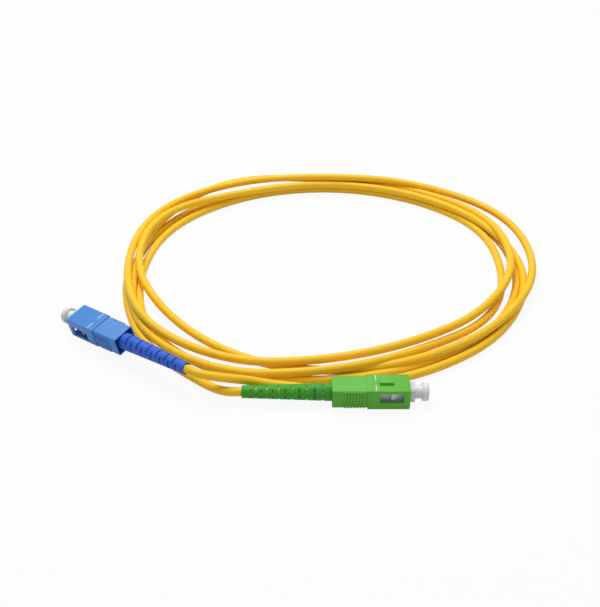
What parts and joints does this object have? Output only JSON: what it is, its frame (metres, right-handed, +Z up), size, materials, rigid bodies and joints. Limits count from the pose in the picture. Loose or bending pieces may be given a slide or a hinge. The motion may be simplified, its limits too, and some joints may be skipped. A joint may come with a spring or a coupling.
{
  "type": "fiber optic patch cord",
  "caption": "Simplex fibre optic patch cord in a loose flat coil, with a square push-pull plug, strain-relief boot and dust cap on each end, one plug green with an angled polish and one blue.",
  "frame": {"origin": "middle of the underside of the green plug's outer housing, on the surface the cord lies on", "axes": "+X along the green plug towards its ferrule, +Z up from the surface, +Y from the green plug towards the coil"},
  "size_m": [0.1749, 0.1525, 0.0111],
  "materials": {
    "green_housing": "satin moulded",
    "blue_housing": "satin moulded",
    "green_boot": "soft moulded",
    "blue_boot": "soft moulded",
    "index_white": "inlaid",
    "frame_white": "moulded",
    "zirconia": "polished ceramic",
    "nickel_steel": "turned",
    "spring_steel": "drawn wire",
    "nickel_brass": "nickel plated",
    "aramid": "yarn",
    "crimp_aluminium": "crimped",
    "buffer_white": "extruded",
    "cap_clear": "translucent moulded",
    "cord_yellow": "smooth extruded jacket"
  },
  "bodies": {
    "root": {"cord_coil": "cord_yellow", "green_lead": "cord_yellow", "blue_lead": "cord_yellow", "green_plug_frame": "frame_white", "green_backbone": "nickel_brass", "green_aramid_yarn": "aramid", "green_crimp_sleeve": "crimp_aluminium", "green_boot": "green_boot", "green_jacket_end": "cord_yellow", "green_spring": "spring_steel", "blue_plug_frame": "frame_white", "blue_backbone": "nickel_brass", "blue_aramid_yarn": "aramid", "blue_crimp_sleeve": "crimp_aluminium", "blue_boot": "blue_boot", "blue_jacket_end": "cord_yellow", "blue_spring": "spring_steel"},
    "green_grip": {"green_outer_housing": "green_housing", "green_index_marks": "index_white"},
    "green_ferrule_unit": {"green_ferrule": "zirconia", "green_ferrule_flange": "nickel_steel", "green_buffered_fibre": "buffer_white"},
    "green_cap": {"green_dust_cap": "cap_clear"},
    "blue_grip": {"blue_outer_housing": "blue_housing", "blue_index_marks": "index_white"},
    "blue_ferrule_unit": {"blue_ferrule": "zirconia", "blue_ferrule_flange": "nickel_steel", "blue_buffered_fibre": "buffer_white"},
    "blue_cap": {"blue_dust_cap": "cap_clear"}
  },
  "joints": [
    {"name": "green_grip_slide", "type": "slide", "parent": "root", "child": "green_grip", "axis": [1, 0, 0], "range_m": [-0.002, 0]},
    {"name": "green_ferrule_recoil", "type": "slide", "parent": "root", "child": "green_ferrule_unit", "axis": [1, 0, 0], "range_m": [-0.0015, 0], "stiffness_N_per_m": 1000, "deforming": ["green_spring"]},
    {"name": "green_cap_pull", "type": "slide", "parent": "root", "child": "green_cap", "axis": [1, 0, 0], "range_m": [0, 0.008]},
    {"name": "blue_grip_slide", "type": "slide", "parent": "root", "child": "blue_grip", "axis": [-0.7736, 0.6278, -0.0865], "range_m": [-0.002, 0]},
    {"name": "blue_ferrule_recoil", "type": "slide", "parent": "root", "child": "blue_ferrule_unit", "axis": [-0.7736, 0.6278, -0.0865], "range_m": [-0.0015, 0], "stiffness_N_per_m": 1000, "deforming": ["blue_spring"]},
    {"name": "blue_cap_pull", "type": "slide", "parent": "root", "child": "blue_cap", "axis": [-0.7736, 0.6278, -0.0865], "range_m": [0, 0.008]}
  ]
}
